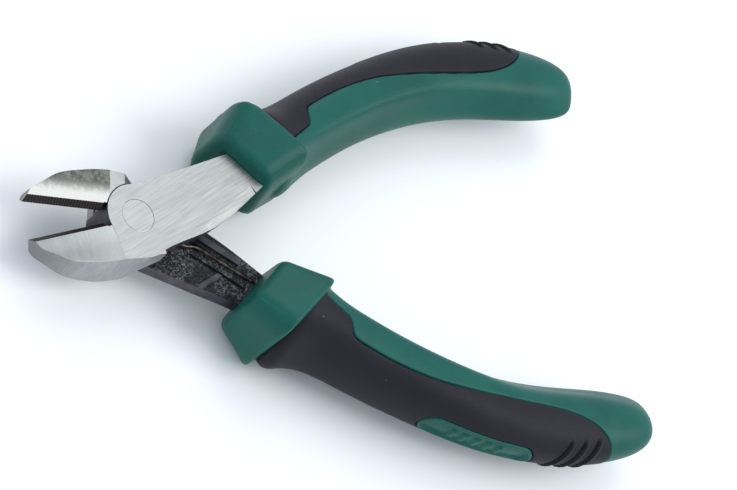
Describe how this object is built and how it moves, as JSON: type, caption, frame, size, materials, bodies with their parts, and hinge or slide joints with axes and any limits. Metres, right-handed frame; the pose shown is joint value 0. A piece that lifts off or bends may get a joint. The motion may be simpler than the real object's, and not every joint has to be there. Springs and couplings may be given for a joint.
{
  "type": "diagonal cutting pliers",
  "caption": "Diagonal cutting pliers with bevelled jaws on a riveted lap joint, a wire return spring and two-layer grips with thumb guards.",
  "frame": {"origin": "on the pivot axis, at the head's ground underside", "axes": "+X runs midway between the grips, from the pivot towards their ends, with the jaws at -X; +Z is the pivot axis; +Y is the side of the upper half's grip"},
  "size_m": [0.126, 0.0874, 0.0187],
  "materials": {
    "ground_steel": "ground bright on the face and jaw, black on the sides",
    "forged_steel": "ground bright on the face and jaw, black forged scale on the inside face",
    "rivet_steel": "ground flush",
    "spring_wire": "oil-tempered wire",
    "hard_grip": "fine satin moulded",
    "soft_grip": "matte soft touch"
  },
  "bodies": {
    "lower_half": {"lower_forged_half": "forged_steel", "pivot_rivet": "rivet_steel", "return_spring": "spring_wire", "lower_grip_core": "hard_grip", "lower_grip_skin": "soft_grip"},
    "upper_half": {"upper_forged_half": "ground_steel", "upper_grip_core": "hard_grip", "upper_grip_skin": "soft_grip"}
  },
  "joints": [
    {"name": "jaw_pivot", "type": "hinge", "parent": "lower_half", "child": "upper_half", "pos_m": [0, 0, 0.00405], "axis": [0, 0, 1], "range_deg": [-20.4, 4], "stiffness_Nm_per_rad": 0.8, "deforming": ["return_spring"]}
  ]
}
